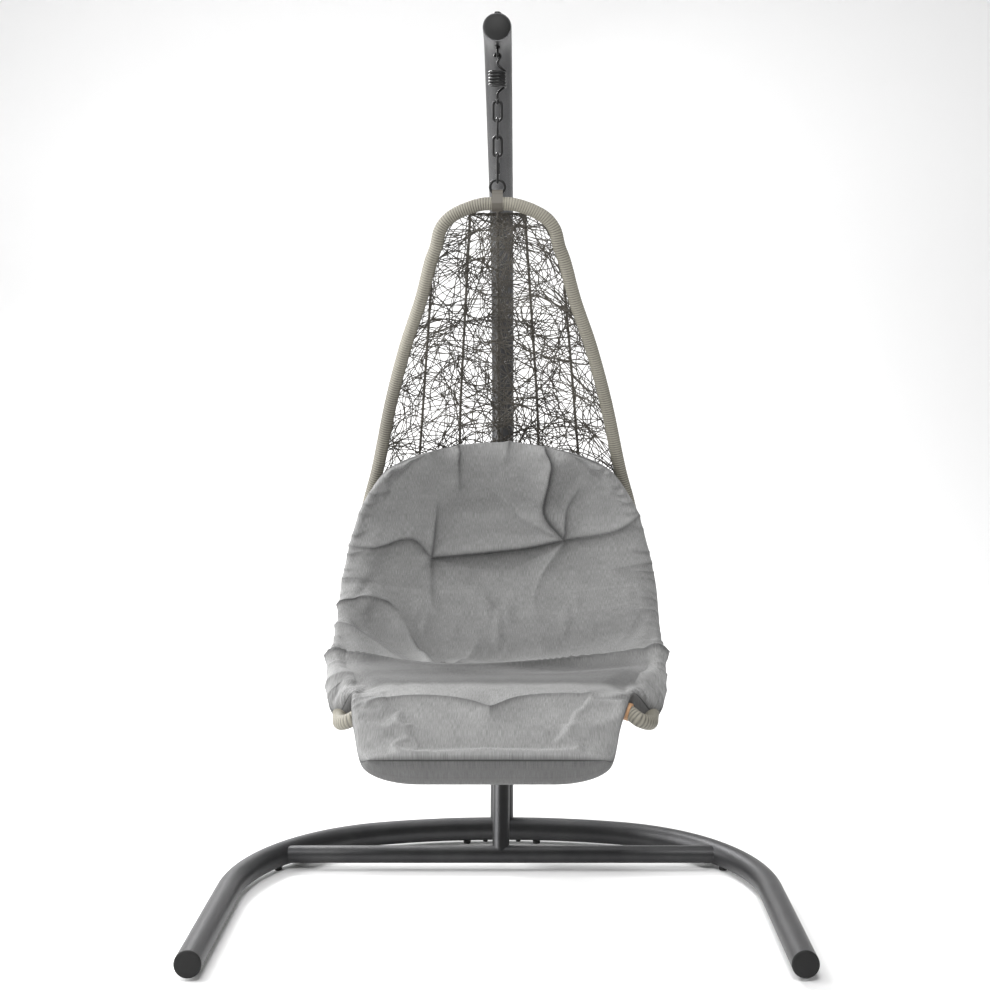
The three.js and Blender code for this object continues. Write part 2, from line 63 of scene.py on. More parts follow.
def smoothPath(points, per):
    pts = [Vector(p) for p in points]
    pts = [2 * pts[0] - pts[1]] + pts + [2 * pts[-1] - pts[-2]]
    out = []
    for i in range(1, len(pts) - 2):
        p0, p1, p2, p3 = pts[i - 1:i + 3]
        t1 = math.sqrt((p1 - p0).length)
        t2 = t1 + math.sqrt((p2 - p1).length)
        t3 = t2 + math.sqrt((p3 - p2).length)
        for k in range(per):
            t = t1 + (t2 - t1) * k / per
            a1 = p0 * ((t1 - t) / t1) + p1 * (t / t1)
            a2 = p1 * ((t2 - t) / (t2 - t1)) + p2 * ((t - t1) / (t2 - t1))
            a3 = p2 * ((t3 - t) / (t3 - t2)) + p3 * ((t - t2) / (t3 - t2))
            b1 = a1 * ((t2 - t) / t2) + a2 * (t / t2)
            b2 = a2 * ((t3 - t) / (t3 - t1)) + a3 * ((t - t1) / (t3 - t1))
            out.append(b1 * ((t2 - t) / (t2 - t1)) + b2 * ((t - t1) / (t2 - t1)))
    out.append(pts[-2].copy())
    return out


def evenPath(points, step, closed=False):
    pts = list(points) + ([points[0]] if closed else [])
    lengths = [0.0]
    for a, b in zip(pts, pts[1:]):
        lengths.append(lengths[-1] + (b - a).length)
    count = max(2, round(lengths[-1] / step))
    out, j = [], 0
    for i in range(count + (0 if closed else 1)):
        want = lengths[-1] * i / count
        while j < len(lengths) - 2 and lengths[j + 1] < want:
            j += 1
        span = lengths[j + 1] - lengths[j]
        out.append(pts[j].lerp(pts[j + 1], (want - lengths[j]) / span if span else 0))
    return out


def addPiece(name, mesh, material, body, nodes=()):
    mesh.name = name
    piece = bpy.data.objects.new(name, mesh)
    bpy.context.scene.collection.objects.link(piece)
    mesh.materials.clear()
    mesh.materials.append(material)
    if nodes:
        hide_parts(*nodes)
    if body:
        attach(piece, body)
    return piece


def tubeMesh(paths, radius, around=20, closed=False):
    curve = bpy.data.curves.new("path", "CURVE")
    curve.dimensions = "3D"
    curve.bevel_depth = radius
    curve.bevel_resolution = around // 2 - 2
    curve.use_fill_caps = not closed
    for path in paths:
        spline = curve.splines.new("POLY")
        spline.points.add(len(path) - 1)
        for point, co in zip(spline.points, path):
            point.co = (*co, 1)
        spline.use_cyclic_u = closed
    holder = bpy.data.objects.new("path", curve)
    bpy.context.scene.collection.objects.link(holder)
    bpy.context.view_layer.update()
    mesh = bpy.data.meshes.new_from_object(holder.evaluated_get(bpy.context.evaluated_depsgraph_get()))
    bpy.data.objects.remove(holder)
    bpy.data.curves.remove(curve)
    work = bmesh.new()
    work.from_mesh(mesh)
    bmesh.ops.remove_doubles(work, verts=work.verts, dist=1e-6)
    bmesh.ops.recalc_face_normals(work, faces=work.faces)
    finishMesh(work, mesh, 50)
    return mesh


def finishMesh(work, mesh, sharpDegrees=35):
    for face in work.faces:
        face.smooth = True
    for edge in work.edges:
        if len(edge.link_faces) == 2 and edge.calc_face_angle(0) > math.radians(sharpDegrees):
            edge.smooth = False
    work.to_mesh(mesh)
    work.free()


def turnTo(origin, axis):
    turn = Vector((0, 0, 1)).rotation_difference(Vector(axis)).to_matrix().to_4x4()
    return Matrix.Translation(origin) @ turn


def turnedMesh(profile, origin, axis, steps=40):
    work = bmesh.new()
    ring = [work.verts.new((r / 1000, 0, h / 1000)) for r, h in profile]
    edges = [work.edges.new(pair) for pair in zip(ring, ring[1:])]
    bmesh.ops.spin(work, geom=ring + edges, cent=(0, 0, 0), axis=(0, 0, 1), angle=2 * math.pi,
                   steps=steps, use_merge=True, use_normal_flip=False, use_duplicate=False)
    bmesh.ops.remove_doubles(work, verts=work.verts, dist=1e-6)
    bmesh.ops.recalc_face_normals(work, faces=work.faces)
    bmesh.ops.transform(work, matrix=turnTo(origin, axis), verts=work.verts)
    mesh = bpy.data.meshes.new("turned")
    finishMesh(work, mesh)
    return mesh


def hexMesh(radius, height, origin, axis):
    work = bmesh.new()
    bmesh.ops.create_cone(work, cap_ends=True, segments=6, radius1=radius / 1000, radius2=radius / 1000,
                          depth=height / 1000)
    bmesh.ops.bevel(work, geom=work.edges[:], offset=0.0006, segments=2, profile=0.5, affect="EDGES",
                    material=-1)
    bmesh.ops.transform(work, matrix=turnTo(origin, axis), verts=work.verts)
    mesh = bpy.data.meshes.new("hex")
    finishMesh(work, mesh, 25)
    return mesh


# ---- shared shader groups ----
def makeGroup(name, inputs, outputs):
    tree = bpy.data.node_groups.new(name, "ShaderNodeTree")
    for label, kind, value in inputs:
        socket = tree.interface.new_socket(label, in_out="INPUT", socket_type=kind)
        if value is not None:
            socket.default_value = value
    for label, kind in outputs:
        tree.interface.new_socket(label, in_out="OUTPUT", socket_type=kind)
    return tree, tree.nodes.new("NodeGroupInput"), tree.nodes.new("NodeGroupOutput")


def makeMottle():
    tree, source, sink = makeGroup(
        "mottle",
        [("Vector", "NodeSocketVector", None), ("Scale", "NodeSocketFloat", 40.0),
         ("Low", "NodeSocketColor", (0, 0, 0, 1)), ("High", "NodeSocketColor", (1, 1, 1, 1))],
        [("Color", "NodeSocketColor"), ("Fac", "NodeSocketFloat")])
    field = tree.nodes.new("ShaderNodeTexNoise")
    field.inputs["Detail"].default_value = 5
    field.inputs["Roughness"].default_value = 0.6
    ramp = tree.nodes.new("ShaderNodeMapRange")
    ramp.inputs["From Min"].default_value = 0.32
    ramp.inputs["From Max"].default_value = 0.68
    mix = tree.nodes.new("ShaderNodeMix")
    mix.data_type = "RGBA"
    link = tree.links.new
    link(source.outputs["Vector"], field.inputs["Vector"])
    link(source.outputs["Scale"], field.inputs["Scale"])
    link(field.outputs["Fac"], ramp.inputs["Value"])
    link(ramp.outputs["Result"], mix.inputs["Factor"])
    link(source.outputs["Low"], mix.inputs[6])
    link(source.outputs["High"], mix.inputs[7])
    link(mix.outputs[2], sink.inputs["Color"])
    link(ramp.outputs["Result"], sink.inputs["Fac"])
    return tree


mottle = makeMottle()


def startMaterial(name, coordinate="Object", stretch=(1, 1, 1)):
    material = bpy.data.materials.new(name)
    material.use_nodes = True
    nodes, link = material.node_tree.nodes, material.node_tree.links.new
    shader = nodes["Principled BSDF"]
    coords = nodes.new("ShaderNodeTexCoord")
    mapping = nodes.new("ShaderNodeMapping")
    mapping.inputs["Scale"].default_value = stretch
    link(coords.outputs[coordinate], mapping.inputs["Vector"])
    return material, nodes, link, shader, mapping


def addMottle(nodes, link, vector, scale, low, high):
    node = nodes.new("ShaderNodeGroup")
    node.node_tree = mottle
    node.inputs["Scale"].default_value = scale
    node.inputs["Low"].default_value = (*low, 1)
    node.inputs["High"].default_value = (*high, 1)
    link(vector.outputs["Vector"], node.inputs["Vector"])
    return node


def addBump(nodes, link, shader, height, distance, strength=1.0, under=None):
    bump = nodes.new("ShaderNodeBump")
    bump.inputs["Distance"].default_value = distance
    bump.inputs["Strength"].default_value = strength
    link(height, bump.inputs["Height"])
    if under:
        link(under.outputs["Normal"], bump.inputs["Normal"])
    link(bump.outputs["Normal"], shader.inputs["Normal"])
    return bump


def plainFinish(name, low, high, roughness, metallic, grain, depth, toneScale):
    material, nodes, link, shader, mapping = startMaterial(name)
    tone = addMottle(nodes, link, mapping, toneScale, low, high)
    link(tone.outputs["Color"], shader.inputs["Base Color"])
    fine = addMottle(nodes, link, mapping, grain, (roughness - 0.05,) * 3, (roughness + 0.06,) * 3)
    link(fine.outputs["Color"], shader.inputs["Roughness"])
    shader.inputs["Metallic"].default_value = metallic
    addBump(nodes, link, shader, fine.outputs["Fac"], depth)
    return material


# Each plain finish: its two tones, roughness, metallic, grain scale, grain depth and how fine the tones lie.
plainLooks = {
    "standCoat": ((0.046, 0.046, 0.048), (0.062, 0.062, 0.063), 0.40, 0.85, 900.0, 0.00012, 9.0),
    "capPlastic": ((0.012, 0.012, 0.012), (0.020, 0.020, 0.020), 0.55, 0.0, 700.0, 0.0001, 9.0),
    "footRubber": ((0.010, 0.010, 0.010), (0.018, 0.018, 0.018), 0.75, 0.0, 500.0, 0.0001, 9.0),
    "blackSteel": ((0.014, 0.014, 0.014), (0.026, 0.026, 0.026), 0.36, 0.6, 420.0, 0.00008, 60.0),
    "tanLeather": ((0.36, 0.19, 0.09), (0.50, 0.29, 0.15), 0.55, 0.0, 650.0, 0.00025, 30.0),
}
finishes = {name: plainFinish(name, *look) for name, look in plainLooks.items()}
capShader = finishes["capPlastic"].node_tree.nodes["Principled BSDF"]
capShader.inputs["Specular IOR Level"].default_value = 0.2


def wickerFinish(name, low, high, grooveShadeAndTone, streak):
    material, nodes, link, shader, mapping = startMaterial(name, "UV", streak)
    tone = addMottle(nodes, link, mapping, 1.0, low, high)
    # The groove attribute mixes in the dark groove colour: painted shade in the valleys of the wound rail, random
    # darker tone on the strands.
    groove = nodes.new("ShaderNodeAttribute")
    groove.attribute_name = "groove"
    mix = nodes.new("ShaderNodeMix")
    mix.data_type = "RGBA"
    link(groove.outputs["Fac"], mix.inputs["Factor"])
    link(tone.outputs["Color"], mix.inputs[6])
    mix.inputs[7].default_value = (*grooveShadeAndTone, 1)
    link(mix.outputs[2], shader.inputs["Base Color"])
    shader.inputs["Roughness"].default_value = 0.58
    addBump(nodes, link, shader, tone.outputs["Fac"], 0.0002)
    return material


finishes["wickerWrap"] = wickerFinish(
    "wickerWrap", (0.20, 0.187, 0.152), (0.35, 0.332, 0.275), (0.022, 0.019, 0.015), (3, 900, 1))
finishes["wickerStrand"] = wickerFinish(
    "wickerStrand", (0.035, 0.031, 0.025), (0.13, 0.117, 0.096), (0.02, 0.016, 0.012), (4, 25, 1))

# The painted shade tone and its largest share darken the pad's crease lines, seat and lap hollows and underside
# panel.
fabric = {"fibres": (820, 80, 1), "low": (0.185, 0.185, 0.183), "high": (0.345, 0.345, 0.341),
          "broadScale": 22.0, "broadLow": 0.86, "stitchTone": 0.03, "paintedShadeTone": 0.022, "paintedShadeMost": 0.82,
          "weaveScale": 260, "fibreDepth": 0.0005, "weaveDepth": 0.0002}


def padFinish():
    material, nodes, link, shader, mapping = startMaterial("padFabric", "UV", (1, 1, 1))
    streaks = nodes.new("ShaderNodeMapping")
    streaks.inputs["Scale"].default_value = fabric["fibres"]
    link(mapping.outputs["Vector"], streaks.inputs["Vector"])
    heather = addMottle(nodes, link, streaks, 1.0, fabric["low"], fabric["high"])
    broad = addMottle(nodes, link, mapping, fabric["broadScale"], (fabric["broadLow"],) * 3, (1.0,) * 3)
    tint = nodes.new("ShaderNodeMix")
    tint.data_type = "RGBA"
    tint.blend_type = "MULTIPLY"
    tint.inputs["Factor"].default_value = 1
    link(heather.outputs["Color"], tint.inputs[6])
    link(broad.outputs["Color"], tint.inputs[7])
    seam = nodes.new("ShaderNodeAttribute")
    seam.attribute_name = "seam"
    line = nodes.new("ShaderNodeMapRange")
    line.inputs["From Min"].default_value = 0.80
    line.inputs["From Max"].default_value = 0.95
    link(seam.outputs["Fac"], line.inputs["Value"])
    stitched = nodes.new("ShaderNodeMix")
    stitched.data_type = "RGBA"
    stitched.inputs[7].default_value = (*(fabric["stitchTone"],) * 3, 1)
    link(line.outputs["Result"], stitched.inputs["Factor"])
    # Painted shade: the 'shade' attribute mixes the colour towards a near-black tone in the crease lines, the seat
    # and lap hollows and over the underside panel.
    shade = nodes.new("ShaderNodeAttribute")
    shade.attribute_name = "shade"
    deep = nodes.new("ShaderNodeMapRange")
    deep.inputs["To Max"].default_value = fabric["paintedShadeMost"]
    link(shade.outputs["Fac"], deep.inputs["Value"])
    paintedShade = nodes.new("ShaderNodeMix")
    paintedShade.data_type = "RGBA"
    paintedShade.inputs[7].default_value = (*(fabric["paintedShadeTone"],) * 3, 1)
    link(deep.outputs["Result"], paintedShade.inputs["Factor"])
    link(tint.outputs[2], paintedShade.inputs[6])
    link(paintedShade.outputs[2], stitched.inputs[6])
    link(stitched.outputs[2], shader.inputs["Base Color"])
    shader.inputs["Roughness"].default_value = 0.92
    shader.inputs["Specular IOR Level"].default_value = 0.2
    shader.inputs["Sheen Weight"].default_value = 0.25
    shader.inputs["Sheen Roughness"].default_value = 0.5
    weave = nodes.new("ShaderNodeTexWave")
    weave.bands_direction = "Y"
    weave.inputs["Scale"].default_value = fabric["weaveScale"]
    weave.inputs["Distortion"].default_value = 1.5
    link(mapping.outputs["Vector"], weave.inputs["Vector"])
    first = addBump(nodes, link, shader, heather.outputs["Fac"], fabric["fibreDepth"])
    addBump(nodes, link, shader, weave.outputs["Fac"], fabric["weaveDepth"], 1.0, first)
    return material


finishes["padFabric"] = padFinish()
print("materials ready")

# ---- camera, floor and light ----
camera = {"x": 50, "y": -3150, "z": 1324, "lens": 53.82, "shiftX": -0.0253, "shiftY": -0.1364}
lens = bpy.data.cameras.new("camera")
lens.sensor_width = 36
lens.lens = camera["lens"]
lens.shift_x = camera["shiftX"]
lens.shift_y = camera["shiftY"]
lens.clip_end = 60
viewpoint = bpy.data.objects.new("camera", lens)
viewpoint.location = place(camera["x"], camera["y"], camera["z"])
viewpoint.rotation_euler = (math.radians(90), 0, 0)
bpy.context.scene.collection.objects.link(viewpoint)
bpy.context.scene.camera = viewpoint
bpy.context.scene.view_settings.view_transform = "Standard"

studio = {"width": 9.0, "front": -6.0, "back": 5.0, "height": 7.0, "bend": 2.5, "bendSteps": 12,
          "tone": (0.86, 0.86, 0.86), "air": 0.36}
# Each light: its place, what it aims at, its size and its power.
lights = {
    "key": ((-4.0, -0.5, 2.4), (0, 0, 0.7), 3.0, 260),
    "back": ((-1.8, 3.2, 3.8), (0, 0, 0.5), 1.6, 200),
    "front": ((0.0, -3.4, 4.4), (0, 0, 0.7), 1.5, 160),
    "top": ((0, 0.2, 4.8), (0, 0, 0.5), 2.6, 45),
}


def addStudio():
    work = bmesh.new()
    profile = [(studio["front"], 0), (studio["back"] - studio["bend"], 0)]
    for i in range(1, studio["bendSteps"] + 1):
        a = math.pi / 2 * i / studio["bendSteps"]
        y = studio["back"] - studio["bend"] * (1 - math.sin(a))
        profile.append((y, studio["bend"] * (1 - math.cos(a))))
    profile.append((studio["back"], studio["height"]))
    row = [work.verts.new((-studio["width"], y, z)) for y, z in profile]
    edges = [work.edges.new(pair) for pair in zip(row, row[1:])]
    grown = bmesh.ops.extrude_edge_only(work, edges=edges)["geom"]
    moved = [g for g in grown if isinstance(g, bmesh.types.BMVert)]
    bmesh.ops.translate(work, vec=(2 * studio["width"], 0, 0), verts=moved)
    mesh = bpy.data.meshes.new("studio")
    bmesh.ops.recalc_face_normals(work, faces=work.faces)
    finishMesh(work, mesh)
    material = bpy.data.materials.new("studioPaper")
    material.use_nodes = True
    shader = material.node_tree.nodes["Principled BSDF"]
    shader.inputs["Base Color"].default_value = (*studio["tone"], 1)
    shader.inputs["Roughness"].default_value = 0.9
    backdrop = bpy.data.objects.new("studio", mesh)
    mesh.materials.append(material)
    bpy.context.scene.collection.objects.link(backdrop)


def addLight(name, location, target, size, energy):
    data = bpy.data.lights.new(name, "AREA")
    data.size = size
    data.energy = energy
    lamp = bpy.data.objects.new(name, data)
    lamp.location = location
    lamp.rotation_euler = (Vector(target) - Vector(location)).to_track_quat("-Z", "Y").to_euler()
    bpy.context.scene.collection.objects.link(lamp)


addStudio()
for lightName, light in lights.items():
    addLight(lightName, *light)
world = bpy.data.worlds.new("studioAir")
world.use_nodes = True
world.node_tree.nodes["Background"].inputs["Color"].default_value = (1, 1, 1, 1)
world.node_tree.nodes["Background"].inputs["Strength"].default_value = studio["air"]
bpy.context.scene.world = world
print("camera, floor and light ready")

# ---- stand ----
base = {"radius": 30, "height": 38, "halfWidth": 658, "leg": 440, "corner": 445, "turn": 75,
        "cornerSteps": 32, "bowSteps": 8}
cornerX = base["halfWidth"] - base["corner"]
cornerTurn = math.radians(base["turn"])
bowRadius = base["corner"] + cornerX / math.cos(cornerTurn)
bowCentreY = base["leg"] - cornerX * math.tan(cornerTurn)


def baseHalf(side):
    points = [place(side * base["halfWidth"], 0, base["height"])]
    for i in range(base["cornerSteps"] + 1):
        a = cornerTurn * i / base["cornerSteps"]
        points.append(place(side * (cornerX + base["corner"] * math.cos(a)),
                            base["leg"] + base["corner"] * math.sin(a), base["height"]))
    for i in range(1, base["bowSteps"] + 1):
        a = cornerTurn + (math.pi / 2 - cornerTurn) * i / base["bowSteps"]
        y = bowCentreY + bowRadius * math.sin(a)
        points.append(place(side * bowRadius * math.cos(a), y, base["height"]))
    return points


mast = {"radius": 31.5, "line": [
    (913, 38), (1040, 480), (1120, 900), (1140, 1230), (1060, 1500), (860, 1700), (600, 1845), (340, 1970),
    (190, 2040), (76, 2050)]}
cross = {"y": 702, "reach": 573, "radius": 22, "braceTop": 0.69}
# Cap profiles: radius and height of each corner, from the face of the tube.
caps = {
    "foot": [(0, -4.3), (25, -4.3), (27.5, -4), (29.2, -2.9), (30, -1.4), (30, -0.3), (25, -0.2), (25, 20), (0, 20)],
    "arm": [(0, 6), (8, 5.7), (16, 4.8), (23, 3.3), (27.6, 1.7), (29.2, 0.6), (29.3, 0.2), (25, 0.1), (25, -20),
            (0, -20)],
}


def addStand():
    coat = finishes["standCoat"]
    floorPath = baseHalf(-1) + baseHalf(1)[-2::-1]
    tube = tubeMesh([floorPath], base["radius"] / 1000, 48)
    addPiece("floorTube", tube, coat, "stand", ("base_tube_left", "base_tube_right"))
    mastPath = smoothPath([place(0, y, z) for y, z in mast["line"]], 14)
    tube = tubeMesh([mastPath], mast["radius"] / 1000, 48)
    addPiece("mastAndArm", tube, coat, "stand", ("mast_lower", "mast_upper"))
    radius, reach, low = cross["radius"] / 1000, cross["reach"], base["height"]
    tube = tubeMesh([[place(-reach, cross["y"], low), place(reach, cross["y"], low)]], radius, 40)
    addPiece("crossTube", tube, coat, "stand", ("crossbar",))
    top = min(mastPath, key=lambda p: abs(p.z - cross["braceTop"]))
    tube = tubeMesh([[place(0, cross["y"], low), top]], radius, 40)
    addPiece("braceTube", tube, coat, "stand", ("brace",))
    for side in (-1, 1):
        name = "Left" if side < 0 else "Right"
        cap = turnedMesh(caps["foot"], place(side * base["halfWidth"], 0, low), (0, 1, 0), 48)
        addPiece(f"footCap{name}", cap, finishes["capPlastic"], "stand",
                 (f"foot_cap_{name.lower()}",))
    aim = (mastPath[-1] - mastPath[-3]).normalized()
    cap = turnedMesh(caps["arm"], mastPath[-1], aim, 48)
    addPiece("armCap", cap, finishes["capPlastic"], "stand", ("arm_cap",))


# The nodes that keep their own shape are only given a finish.
def finishNodes(nodes, finish):
    for node in nodes:
        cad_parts[node].data.materials.clear()
        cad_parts[node].data.materials.append(finishes[finish])


addStand()
finishNodes([f"glide_{end}_{side}" for end in ("front", "side", "rear") for side in ("left", "right")], "footRubber")
finishNodes(("base_connector", "base_bolt_left", "base_bolt_right", "mast_foot_bolt", "mast_sleeve",
             "mast_bolt_lower", "mast_nut_lower", "mast_bolt_upper", "mast_nut_upper", "brace_bolt",
             "rail_tube_left", "rail_tube_right"), "blackSteel")
print("stand ready")

# ---- spring and chain ----
hang = {"eyeZ": 2003, "eyeRadius": 8.5, "eyeWire": 3, "shank": 6, "linkTop": 1899.5, "linkLength": 52,
        "linkWidth": 25, "wire": 3.2, "gap": 0.3, "loopSteps": 48, "quickLength": 70.9, "quickWidth": 24,
        "nutRadius": 5.8, "nutHeight": 24, "ringRadius": 16.1, "ringWire": 3.25}
coil = {"radius": 17, "wire": 3, "top": 1963, "height": 35, "turns": 5, "perTurn": 16, "hook": 6.3, "endHook": 6.5,
        "hookTurn": 235, "hookSteps": 8, "blendFrom": 1975, "blendTo": 1912}


def loopPath(length, width, wire, topZ, sideways):
    bend = width / 2 - wire
    straight = (length - width) / 2
    path = []
    for i in range(hang["loopSteps"]):
        a = 2 * math.pi * (i + 0.5) / hang["loopSteps"]
        across = bend * math.cos(a)
        up = bend * math.sin(a) + math.copysign(straight, math.sin(a)) + topZ - length / 2
        path.append(place(0, hangY + across, up) if sideways else place(across, hangY, up))
    return path


def springPath():
    points = []
    eyeWire = hang["eyeZ"] - hang["eyeRadius"]
    for i in range(coil["hookSteps"] + 1):
        a = math.radians(205 - coil["hookTurn"] * i / coil["hookSteps"])
        points.append(place(coil["hook"] * math.cos(a), hangY, eyeWire + coil["hook"] * math.sin(a)))
    points += [place(1.5, hangY, eyeWire - 9.5), place(0, hangY, eyeWire - 17), place(9, hangY, eyeWire - 26)]
    steps = coil["turns"] * coil["perTurn"]
    for i in range(steps + 1):
        a = 2 * math.pi * (i + 0.6) / coil["perTurn"]
        points.append(place(coil["radius"] * math.cos(a), hangY + coil["radius"] * math.sin(a),
                            coil["top"] - coil["height"] * i / steps))
    wire = hang["linkTop"] - hang["wire"]
    points += [place(7, hangY + 4, wire + 24), place(0, hangY, wire + 16), place(0, hangY + 2, wire + 10)]
    for i in range(coil["hookSteps"] + 1):
        a = math.radians(30 - coil["hookTurn"] * i / coil["hookSteps"])
        points.append(place(0, hangY + coil["endHook"] * math.cos(a), wire + coil["endHook"] * math.sin(a)))
    return smoothPath(points, 3)


def addHangingGear():
    steel = finishes["blackSteel"]
    mesh = tubeMesh([springPath()], coil["wire"] / 1000, 12)
    spring = addPiece("coilSpring", mesh, steel, None, ("spring",))
    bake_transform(spring)
    drop = hang["linkLength"] - 4 * hang["wire"] - hang["gap"]
    for i, name in enumerate(("a", "b", "c")):
        path = loopPath(hang["linkLength"], hang["linkWidth"], hang["wire"], hang["linkTop"] - i * drop, i == 1)
        addPiece("link" + name.upper(), tubeMesh([path], hang["wire"] / 1000, 14, True), steel, "link_" + name,
                 ("chain_link_" + name,))
    quickTop = hang["linkTop"] - 3 * drop
    path = loopPath(hang["quickLength"], hang["quickWidth"], hang["wire"], quickTop, True)
    addPiece("quickLink", tubeMesh([path], hang["wire"] / 1000, 14, True), steel, "quick_link",
             ("quick_link",))
    flank = place(0, hangY + hang["quickWidth"] / 2 - hang["wire"], quickTop - hang["quickLength"] / 2)
    mesh = hexMesh(hang["nutRadius"], hang["nutHeight"], flank, (0, 0, 1))
    addPiece("quickNut", mesh, steel, "quick_link", ("quick_link_nut",))
    size = 2 * (hang["ringRadius"] + hang["ringWire"])
    ringTop = quickTop - hang["quickLength"] + 2 * hang["wire"] + 2 * hang["ringWire"] + hang["gap"]
    path = loopPath(size, size, hang["ringWire"], ringTop, False)
    addPiece("hangRing", tubeMesh([path], hang["ringWire"] / 1000, 16, True), steel, "basket",
             ("hang_ring",))
    radius = hang["eyeRadius"]
    eye = [place(0, hangY + radius * math.cos(a), hang["eyeZ"] + radius * math.sin(a))
           for a in (2 * math.pi * i / 32 for i in range(32))]
    work = bmesh.new()
    work.from_mesh(tubeMesh([eye], hang["eyeWire"] / 1000, 14, True))
    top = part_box("eye_bolt")[1][2] * 1000
    work.from_mesh(tubeMesh([[place(0, hangY, hang["eyeZ"] + 8), place(0, hangY, top)]], hang["shank"] / 1000, 20))
    mesh = bpy.data.meshes.new("eyeBolt")
    finishMesh(work, mesh)
    addPiece("eyeBolt", mesh, steel, "stand", ("eye_bolt",))
    low = 1000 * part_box("cap_nut")[0][2]
    dome = turnedMesh([(9, low + 6), (9.2, low + 7.5), (8.3, low + 9.6), (5.5, low + 11.4), (0, low + 12)],
                      place(0, hangY, 0), (0, 0, 1), 32)
    work = bmesh.new()
    work.from_mesh(dome)
    work.from_mesh(hexMesh(12, 6.7, place(0, hangY, low + 3.4), (0, 0, 1)))
    mesh = bpy.data.meshes.new("capNut")
    finishMesh(work, mesh, 30)
    addPiece("capNut", mesh, steel, "stand", ("cap_nut",))
    finishNodes(("eye_washer",), "blackSteel")


addHangingGear()
print("spring and chain ready")

# ---- basket rail with its wound wicker ----
rail = {"radius": 15, "pitch": 5.6, "ridge": 0.75, "around": 16, "step": 1.4, "sink": 0.3, "uneven": 0.35,
        "halfLine": [
    (0, 120, 1669), (35, 121, 1668), (82, 126, 1653), (111, 130, 1635), (127.5, 137, 1612), (137, 148, 1577),
    (149, 158, 1546), (173, 190, 1462), (210.5, 228, 1358), (248, 275, 1228), (285, 325, 1064.5), (308, 345, 982),
    (328, 355, 880), (343, 340, 780), (350, 295, 700), (350, 205, 640), (341, 90, 610), (328, -40, 597),
    (320, -110, 591), (312, -155, 590), (290, -172, 600), (265, -158, 614), (220, -150, 616), (0, -145, 612)]}
railHalf = smoothPath([place(*p) for p in rail["halfLine"]], 16)


def addRail():
    mirrored = [Vector((-p.x, p.y, p.z)) for p in railHalf[-2:0:-1]]
    loop = evenPath(railHalf + mirrored, rail["step"] / 1000, True)
    around = rail["around"]
    mesh = tubeMesh([loop], rail["radius"] / 1000, around, True)
    # The groove attribute darkens the valleys between the windings as painted shade, with random patches of darker
    # tone.
    groove = mesh.attributes.new("groove", "FLOAT", "POINT")
    turns = round(len(loop) * rail["step"] / rail["pitch"])
    for i, vertex in enumerate(mesh.vertices):
        ring, spoke = divmod(i, around)
        centre = loop[ring]
        phase = turns * ring / len(loop) + spoke / around
        wave = abs(math.sin(math.pi * phase))
        patch = noise.noise(centre * 9)
        out = (vertex.co - centre).normalized()
        lift = rail["ridge"] * (wave ** 0.6 - 0.6)
        lift += rail["uneven"] * noise.noise(Vector((phase * 0.7, spoke, 0)))
        vertex.co = centre + out * (rail["radius"] - rail["sink"] + lift) / 1000
        groove.data[i].value = max(0, min(1, (1 - wave) ** 1.5 * 0.9 + rail["uneven"] * patch))
    addPiece("wickerRail", mesh, finishes["wickerWrap"], "basket",
             ("rail_wrap_left", "rail_wrap_right"))


addRail()

# ---- open random weave and its rods ----
weave = {"from": 0.068, "to": 0.812, "inset": 13, "archInset": 15, "archTop": -0.026, "rim": 10, "bulge": 62,
         "frontDip": 16, "squareness": 2.6, "strands": 240, "archStrands": 7, "archLength": 0.45, "archLowest": 0.10,
         "shortest": 0.35, "longest": 1.1, "step": 0.013, "radius": 0.00112, "seed": 7}
# How a strand wanders: turning per metre, how fast that changes, and how far strands lie over one another.
wander = {"widest": 0.36, "startReach": 0.85, "under": -2.4, "over": 1.6, "startBend": 26, "bendChange": 9,
          "bendKept": 0.93, "mostBend": 30, "ripple": 1.2, "rippleRate": 110, "run": 1.44, "overhang": 1.01,
          "bounce": 0.3, "margin": 0.0005}
railEven = evenPath(railHalf, 0.004)


def railAt(along):
    share = (weave["from"] + (weave["to"] - weave["from"]) * along) * (len(railEven) - 1)
    low = max(0, min(int(share), len(railEven) - 2))
    return railEven[low].lerp(railEven[low + 1], share - low)


def hollowPoint(along, x, out):
    edge, before, after = railAt(along), railAt(along - 0.015), railAt(along + 0.015)
    run = math.hypot(after.y - before.y, after.z - before.z)
    across = min(abs(x) / halfWidth(along), 1.0)
    depth = weave["rim"] + weave["bulge"] * math.sin(math.pi * max(along, 0) ** 0.9)
    depth -= weave["frontDip"] * max(along, 0) ** 10
    reach = (depth * (1 - across ** weave["squareness"]) + out) / 1000
    return Vector((x, edge.y + reach * (before.z - after.z) / run, edge.z + reach * (after.y - before.y) / run))


def halfWidth(along):
    inset = weave["inset"] + weave["archInset"] * max(0, along / weave["archTop"])
    return railAt(along).x - inset / 1000


